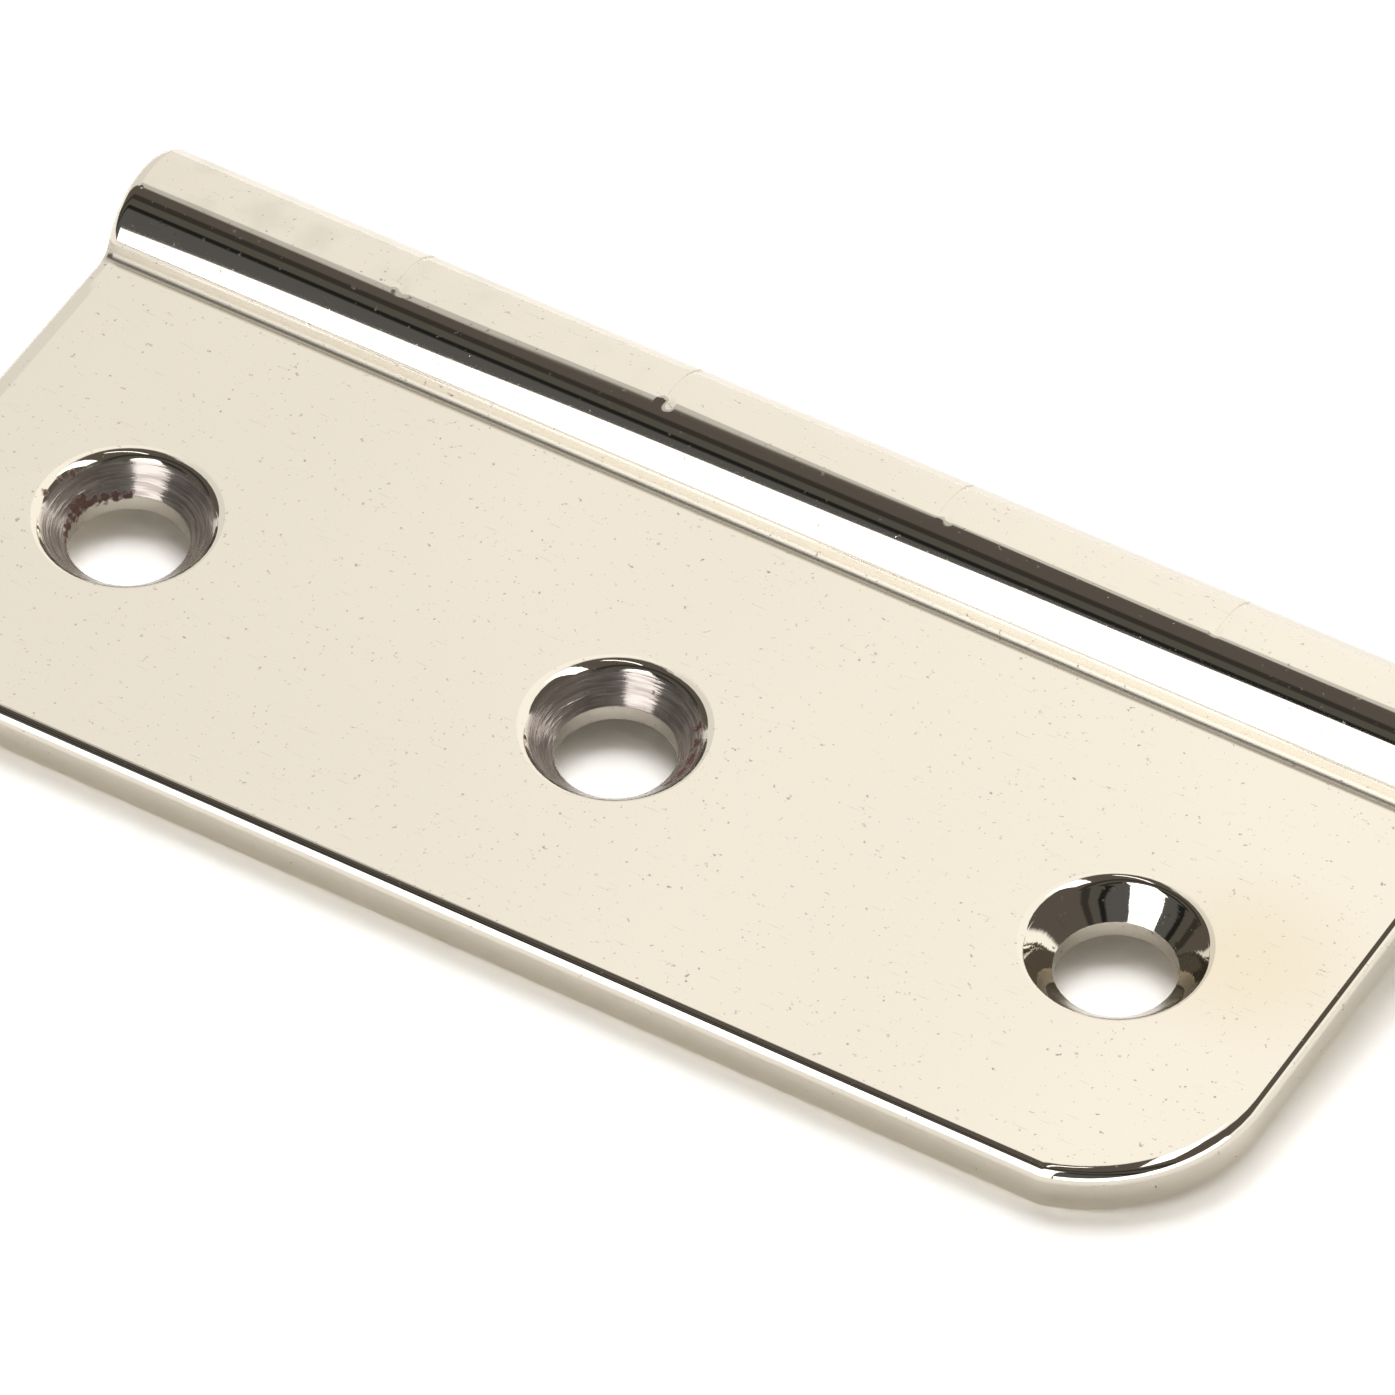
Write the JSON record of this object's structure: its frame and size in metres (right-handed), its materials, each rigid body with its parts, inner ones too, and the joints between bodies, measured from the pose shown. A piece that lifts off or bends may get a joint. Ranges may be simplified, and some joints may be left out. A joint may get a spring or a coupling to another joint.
{
  "type": "dummy butt hinge",
  "caption": "Dummy butt hinge: a flat leaf with rounded front corners and countersunk screw holes, in one piece with a solid barrel.",
  "frame": {"origin": "on the leaf's back face, on the axis of the middle screw hole", "axes": "+X along the barrel, +Y from the leaf's front edge towards the barrel, +Z out of the leaf on its countersunk side"},
  "size_m": [0.0762, 0.0362, 0.0076],
  "materials": {
    "polished_nickel": "nickel plated and polished over solid brass"
  },
  "bodies": {
    "root": {"dummy_leaf": "polished_nickel"}
  },
  "joints": []
}
